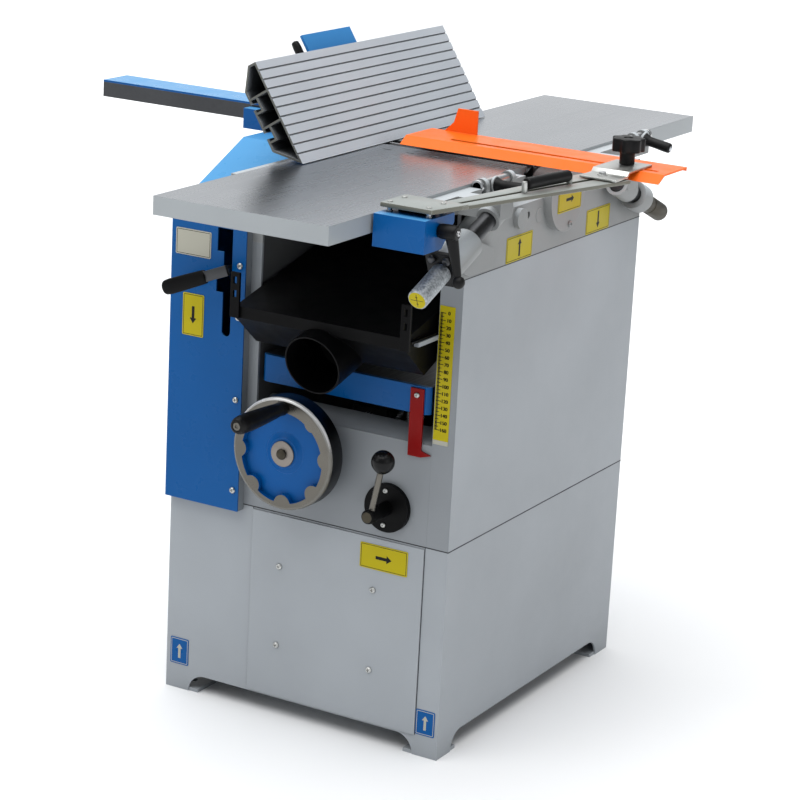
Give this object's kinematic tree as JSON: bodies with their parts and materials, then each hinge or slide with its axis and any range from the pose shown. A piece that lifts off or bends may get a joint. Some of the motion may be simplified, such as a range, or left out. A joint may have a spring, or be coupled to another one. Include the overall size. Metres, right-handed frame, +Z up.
{
  "type": "combination planer thicknesser",
  "caption": "Combination surface planer and thicknesser on a sheet steel cabinet with tilting fence, bridge guard, chip hood, handwheel lift and belt drive.",
  "frame": {"origin": "on the floor at the centre of the four floor bolt holes", "axes": "+Z up, -Y towards the handwheel front, +X towards the open side away from the drive cover"},
  "size_m": [0.918, 1.072, 0.9274],
  "materials": {
    "cabinet_grey": "satin light grey powder coat",
    "machine_blue": "satin blue paint",
    "black_paint": "satin black paint",
    "guard_orange": "gloss orange paint",
    "pointer_red": "gloss red paint",
    "ground_iron": "ground and polished",
    "bright_steel": "brushed",
    "alloy": "anodised",
    "chrome": "polished",
    "black_plastic": "matte black",
    "notice": "plain yellow sheet",
    "scale_white": "pale scale strip",
    "belt_rubber": "matte"
  },
  "bodies": {
    "machine": {"base_frame": "cabinet_grey", "base_panel": "cabinet_grey", "label_plates": "notice", "cabinet_screws": "bright_steel", "column_left": "cabinet_grey", "column_right": "cabinet_grey", "aprons": "cabinet_grey", "head_left": "cabinet_grey", "head_right": "cabinet_grey", "bearing_cover": "cabinet_grey", "cutter_bearings": "bright_steel", "motor": "machine_blue", "drive_belt": "belt_rubber", "drive_cover": "machine_blue", "depth_scale": "scale_white", "lift_bridge": "cabinet_grey", "clamp_flange": "cabinet_grey", "infeed_bush": "cabinet_grey", "outfeed_bush": "cabinet_grey", "fence_holder": "machine_blue"},
    "cutter": {"cutterblock": "bright_steel", "cutter_knives": "bright_steel"},
    "motor_rotor": {"motor_pulley": "bright_steel"},
    "front_roller": {"infeed_roller": "bright_steel"},
    "rear_roller": {"outfeed_roller": "bright_steel"},
    "anti_kickback": {"kickback_fingers": "bright_steel"},
    "feed_switch": {"feed_lever": "black_plastic"},
    "thickness_lift": {"thickness_table": "ground_iron", "table_beams": "machine_blue", "depth_pointer": "pointer_red"},
    "screw": {"lift_screw": "bright_steel"},
    "handwheel": {"handwheel_shaft": "bright_steel", "handwheel_rim": "chrome", "handwheel_web": "machine_blue"},
    "wheel_grip": {"handwheel_grip": "black_plastic"},
    "table_clamp": {"clamp_lever": "black_plastic"},
    "hood": {"chip_hood": "black_paint", "hood_straps": "black_paint"},
    "infeed": {"infeed_table": "ground_iron", "infeed_cheeks": "cabinet_grey", "guard_shaft": "bright_steel"},
    "infeed_cam": {"infeed_lock": "black_plastic"},
    "infeed_screw": {"infeed_adjuster": "alloy"},
    "outfeed": {"outfeed_table": "ground_iron", "outfeed_cheeks": "cabinet_grey"},
    "outfeed_cam": {"outfeed_lock": "black_plastic"},
    "outfeed_screw": {"outfeed_adjuster": "alloy"},
    "fence_carriage": {"fence_bar": "black_paint", "fence_cover": "machine_blue", "fence_saddle": "cabinet_grey"},
    "fence": {"fence_tilt_plate": "machine_blue", "fence_profile": "alloy"},
    "fence_clamp": {"fence_lever": "black_plastic"},
    "guard": {"guard_pivot": "machine_blue", "guard_arm": "cabinet_grey", "arm_grip": "black_plastic", "guard_bracket": "cabinet_grey"},
    "pivot_clamp": {"guard_clamp_lever": "black_plastic"},
    "guard_screw": {"guard_knob": "black_plastic"},
    "bridge": {"bridge_guard": "guard_orange"}
  },
  "joints": [
    {"name": "cutter_spin", "type": "hinge", "parent": "machine", "child": "cutter", "pos_m": [0.05225, 0, 0.7509], "axis": [1, 0, 0], "continuous": true},
    {"name": "motor_spin", "type": "hinge", "parent": "machine", "child": "motor_rotor", "pos_m": [-0.00775, 0, 0.152], "axis": [1, 0, 0], "continuous": true},
    {"name": "front_roller_spin", "type": "hinge", "parent": "machine", "child": "front_roller", "pos_m": [0.05225, -0.062, 0.7319], "axis": [1, 0, 0], "continuous": true},
    {"name": "rear_roller_spin", "type": "hinge", "parent": "machine", "child": "rear_roller", "pos_m": [0.05225, 0.062, 0.7319], "axis": [1, 0, 0], "continuous": true},
    {"name": "kickback_swing", "type": "hinge", "parent": "machine", "child": "anti_kickback", "pos_m": [0.05225, -0.094, 0.7369], "axis": [1, 0, 0], "range_deg": [0, 15]},
    {"name": "feed_switch_swing", "type": "hinge", "parent": "machine", "child": "feed_switch", "pos_m": [-0.13225, -0.14975, 0.636], "axis": [1, 0, 0], "range_deg": [-18, 18]},
    {"name": "thickness_lift_slide", "type": "slide", "parent": "machine", "child": "thickness_lift", "axis": [0, 0, 1], "range_m": [-0.02, 0.025]},
    {"name": "screw_turn", "type": "hinge", "parent": "machine", "child": "screw", "pos_m": [-0.00875, 0, 0.407], "axis": [0, 0, 1], "range_deg": [-2300, 1850]},
    {"name": "handwheel_turn", "type": "hinge", "parent": "machine", "child": "handwheel", "pos_m": [-0.00875, -0.306, 0.407], "axis": [0, 1, 0], "range_deg": [-3200, 4000]},
    {"name": "wheel_grip_spin", "type": "hinge", "parent": "handwheel", "child": "wheel_grip", "pos_m": [-0.00988, -0.36, 0.47199], "axis": [0, 1, 0], "continuous": true},
    {"name": "table_clamp_turn", "type": "hinge", "parent": "machine", "child": "table_clamp", "pos_m": [0.13075, -0.29, 0.347], "axis": [0, 1, 0], "range_deg": [-10, 60]},
    {"name": "hood_slide", "type": "slide", "parent": "machine", "child": "hood", "axis": [0, -1, 0], "range_m": [0, 0.12]},
    {"name": "infeed_adjust", "type": "slide", "parent": "machine", "child": "infeed", "axis": [0, -0.9205, -0.3907], "range_m": [-0.0015, 0.01]},
    {"name": "infeed_screw_turn", "type": "hinge", "parent": "machine", "child": "infeed_screw", "pos_m": [0.24775, -0.30975, 0.735], "axis": [0, 0.9205, 0.3907], "range_deg": [-300, 1850]},
    {"name": "outfeed_adjust", "type": "slide", "parent": "machine", "child": "outfeed", "axis": [0, 0.9205, -0.3907], "range_m": [-0.0015, 0.008]},
    {"name": "outfeed_screw_turn", "type": "hinge", "parent": "machine", "child": "outfeed_screw", "pos_m": [0.24775, 0.22575, 0.71], "axis": [0, -0.9205, 0.3907], "range_deg": [-300, 1500]},
    {"name": "infeed_cam_turn", "type": "hinge", "parent": "infeed", "child": "infeed_cam", "pos_m": [0.19175, -0.109, 0.7839], "axis": [0, 1, 0], "range_deg": [-75, 0]},
    {"name": "outfeed_cam_turn", "type": "hinge", "parent": "outfeed", "child": "outfeed_cam", "pos_m": [0.19175, 0.313, 0.7839], "axis": [0, 1, 0], "range_deg": [-65, 0]},
    {"name": "fence_slide", "type": "slide", "parent": "machine", "child": "fence_carriage", "axis": [1, 0, 0], "range_m": [-0.015, 0.03]},
    {"name": "fence_tilt", "type": "hinge", "parent": "fence_carriage", "child": "fence", "pos_m": [-0.04775, 0, 0.7882], "axis": [0, 1, 0], "range_deg": [0, 32.5]},
    {"name": "fence_clamp_turn", "type": "hinge", "parent": "fence_carriage", "child": "fence_clamp", "pos_m": [-0.15547, -0.046, 0.86791], "axis": [0, 1, 0], "range_deg": [-60, 0]},
    {"name": "guard_swing", "type": "hinge", "parent": "infeed", "child": "guard", "pos_m": [0.20225, -0.403, 0.7719], "axis": [1, 0, 0], "range_deg": [0, 11]},
    {"name": "pivot_clamp_turn", "type": "hinge", "parent": "guard", "child": "pivot_clamp", "pos_m": [0.28225, -0.403, 0.7719], "axis": [1, 0, 0], "range_deg": [-30, 15]},
    {"name": "bridge_slide", "type": "slide", "parent": "guard", "child": "bridge", "axis": [1, 0, 0], "range_m": [0, 0.2]},
    {"name": "guard_screw_turn", "type": "hinge", "parent": "guard", "child": "guard_screw", "pos_m": [0.32725, -0.012, 0.83], "axis": [0, 0, 1], "range_deg": [-180, 180]}
  ],
  "couplings": [
    {"joint": "motor_spin", "follows": "cutter_spin", "ratio": 0.375},
    {"joint": "rear_roller_spin", "follows": "front_roller_spin", "ratio": 1},
    {"joint": "screw_turn", "follows": "thickness_lift_slide", "rad_per_m": -1570.8},
    {"joint": "handwheel_turn", "follows": "thickness_lift_slide", "rad_per_m": 2748.9},
    {"joint": "infeed_screw_turn", "follows": "infeed_adjust", "rad_per_m": 3141.6},
    {"joint": "outfeed_screw_turn", "follows": "outfeed_adjust", "rad_per_m": 3141.6}
  ]
}
